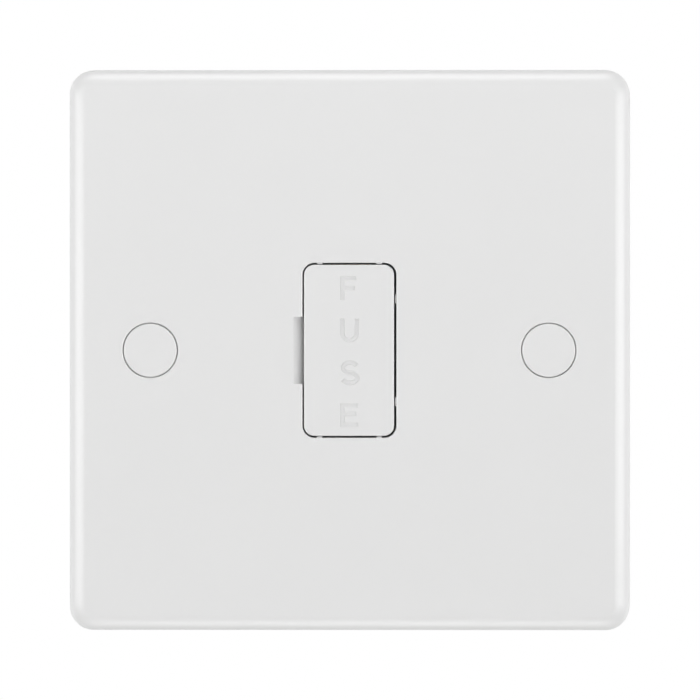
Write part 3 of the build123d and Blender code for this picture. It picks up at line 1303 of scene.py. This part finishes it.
LAMPS = (
    Softbox("left_panel", 5.95, azimuth=-47, width=1150, height=260),
    Softbox("right_panel", 6.1, azimuth=49, width=1150, height=260),
    Softbox("top_panel", 3.1, elevation=70, distance=330, width=200, height=253),
    Softbox("low_panel", 3.0, elevation=-66, distance=700, width=225, height=480),
    Softbox("left_rim_panel", 0.95, azimuth=-105),
    Softbox("right_rim_panel", 1.05, azimuth=105),
    Softbox("left_rear_panel", 0.25, azimuth=-145, elevation=35, mirrored=False),
    Softbox("right_rear_panel", 0.25, azimuth=145, elevation=35, mirrored=False),
    Softbox("rear_panel", 2.7, azimuth=180, elevation=8, width=800, height=800, mirrored=False),
)


def shown(tree: bpy.types.NodeTree) -> bpy.types.NodeSocket:
    """Socket that is one for camera, glossy and transmission rays, and nought for the rest.

    Args:
        tree: Node tree that gets the nodes.

    Returns:
        The socket to link from.
    """
    ray = add_node(tree, "ShaderNodeLightPath").outputs
    either = {0: ray["Is Camera Ray"], 1: ray["Is Glossy Ray"]}
    seen = add_node(tree, "ShaderNodeMath", either, operation="MAXIMUM")
    through = {0: seen.outputs[0], 1: ray["Is Transmission Ray"]}
    return add_node(tree, "ShaderNodeMath", through, operation="MAXIMUM").outputs[0]


@dataclass
class Studio:
    """Plain white studio: a level camera, soft lamps, an even surround and a pale floor."""

    camera_distance: float = 640.0
    camera_right: float = 6.0
    camera_up: float = 3.2
    view_width: float = 107.5
    sensor: float = 36.0
    fill: float = 0.1
    floor_level: float = -900.0
    floor_radius: float = 1500.0
    floor_rings: int = 12
    floor_columns: int = 96
    floor_colour: str = "#F2F2F0"
    floor_fleck: str = "#EEEEEC"
    floor_fleck_size: float = 60.0
    floor_roughness: float = 0.85
    floor_white: float = 0.8

    def build_camera(self) -> None:
        """Sets the camera almost square to the plate's face and aims it at the plate's centre.

        The lens makes the view as wide as wanted at the wall plane, where the plate's back edge
        lies.
        """
        data = bpy.data.cameras.new("camera")
        data.sensor_width = self.sensor
        data.lens = self.sensor * self.camera_distance / self.view_width
        camera = bpy.data.objects.new("camera", data)
        place = Vector((self.camera_right, -self.camera_distance, self.camera_up)) * METRES
        camera.location = place
        camera.rotation_euler = place.to_track_quat("Z", "Y").to_euler()
        bpy.context.scene.collection.objects.link(camera)
        bpy.context.scene.camera = camera

    def build_world(self) -> None:
        """Makes the surround white to the camera and in reflections, and a dim fill elsewhere."""
        world = bpy.data.worlds.new("white_surround")
        bpy.context.scene.world = world
        world.use_nodes = True
        tree = world.node_tree
        tree.nodes.clear()
        dim = add_node(tree, "ShaderNodeBackground", {"Color": WHITE, "Strength": self.fill})
        white = add_node(tree, "ShaderNodeBackground", {"Color": WHITE, "Strength": 1.0})
        layers = {0: shown(tree), 1: dim.outputs[0], 2: white.outputs[0]}
        mixed = add_node(tree, "ShaderNodeMixShader", layers)
        add_node(tree, "ShaderNodeOutputWorld", {"Surface": mixed.outputs[0]})

    def floor_material(self) -> bpy.types.Material:
        """Makes the floor's finish: pale flecks, seen as mostly plain white.

        It is all white at the floor's rim, so that no edge of it shows.

        Returns:
            The new material.
        """
        material = new_material("pale_floor")
        tree = material.node_tree
        place = add_node(tree, "ShaderNodeTexCoord").outputs["Object"]
        fleck = add_node(
            tree,
            "ShaderNodeTexNoise",
            {"Vector": place, "Scale": per_metre(self.floor_fleck_size)},
        )
        colour = add_node(
            tree,
            "ShaderNodeMix",
            {
                MIX_SHARE: fleck.outputs["Fac"],
                MIX_FIRST: linear(self.floor_colour),
                MIX_SECOND: linear(self.floor_fleck),
            },
            data_type="RGBA",
        )
        pale = add_node(
            tree,
            "ShaderNodeBsdfPrincipled",
            {"Base Color": colour.outputs[MIX_RESULT], "Roughness": self.floor_roughness},
        )
        white = add_node(tree, "ShaderNodeEmission", {"Color": WHITE, "Strength": 1.0})
        reach = add_node(tree, "ShaderNodeVectorMath", {0: place}, operation="LENGTH")
        whiteness = add_node(
            tree,
            "ShaderNodeMapRange",
            {
                "Value": reach.outputs["Value"],
                "From Max": self.floor_radius * METRES,
                "To Min": self.floor_white,
                "To Max": 1.0,
            },
        )
        factors = {0: shown(tree), 1: whiteness.outputs["Result"]}
        share = add_node(tree, "ShaderNodeMath", factors, operation="MULTIPLY")
        layers = {0: share.outputs[0], 1: pale.outputs["BSDF"], 2: white.outputs[0]}
        mixed = add_node(tree, "ShaderNodeMixShader", layers)
        add_node(tree, "ShaderNodeOutputMaterial", {"Surface": mixed.outputs[0]})
        return material

    def build_floor(self) -> None:
        """Makes a round floor below the unit: rings of points about the vertical axis."""
        angle = np.linspace(0, 2 * np.pi, self.floor_columns + 1)
        radius = np.linspace(0, self.floor_radius, self.floor_rings)[:, None]
        points = in_frame(radius * np.cos(angle), radius * np.sin(angle), self.floor_level)
        floor = make_piece("floor", points, grid_faces(self.floor_rings, self.floor_columns + 1))
        floor.data.materials.append(self.floor_material())

    def build(self) -> None:
        """Builds the camera, the surround, the floor and the lamps."""
        bpy.context.scene.view_settings.view_transform = "Standard"
        self.build_camera()
        self.build_world()
        self.build_floor()
        for lamp in LAMPS:
            lamp.build()


def main() -> None:
    """Dresses the CAD nodes, builds the finer pieces and sets up the studio."""
    logging.basicConfig(level=logging.INFO, format="%(name)s: %(message)s")
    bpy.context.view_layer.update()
    white = UreaMoulding().build()
    grey = TrayMoulding().build()
    brass = MACHINED_BRASS.build()
    bronze = SPRING_BRONZE.build()
    zinc = ZINC_PLATE.build()

    dress(["screw_cap_left", "screw_cap_right"], white)
    dress(["terminal_housing"], grey)
    dress([f"{row}_{pole}_terminal" for row in ROWS for pole in POLES], brass)
    dress(["neutral_link", "earth_link"], brass)
    dress([f"{row}_fuse_clip" for row in ROWS], bronze)
    dress(["fuse_barrel"], FiredCeramic().build())
    dress(["fuse_end_cap_upper", "fuse_end_cap_lower"], NICKEL_PLATE.build())

    NotchedPlate().build(white)
    FuseDrawer().build(white)
    TerminalMarks().build(grey)
    EjectorMarks().build(white)
    for screw, places, node in (
        (FIXING_SCREW, FIXING_PLACES, "fixing_screws"),
        (TRAY_SCREW, TRAY_SCREW_PLACES, "housing_screws"),
    ):
        screw.build(f"threaded_{node}", places, zinc, Body.UNIT.value, node)
    for row, z in ROWS.items():
        for pole, x in POLES.items():
            node = f"{row}_{pole}_screw"
            CLAMP_SCREW.build(f"threaded_{node}", [(x, z)], zinc, f"{row}_{pole}_clamp", node)

    Studio().build()


if __name__ == "__main__":
    main()
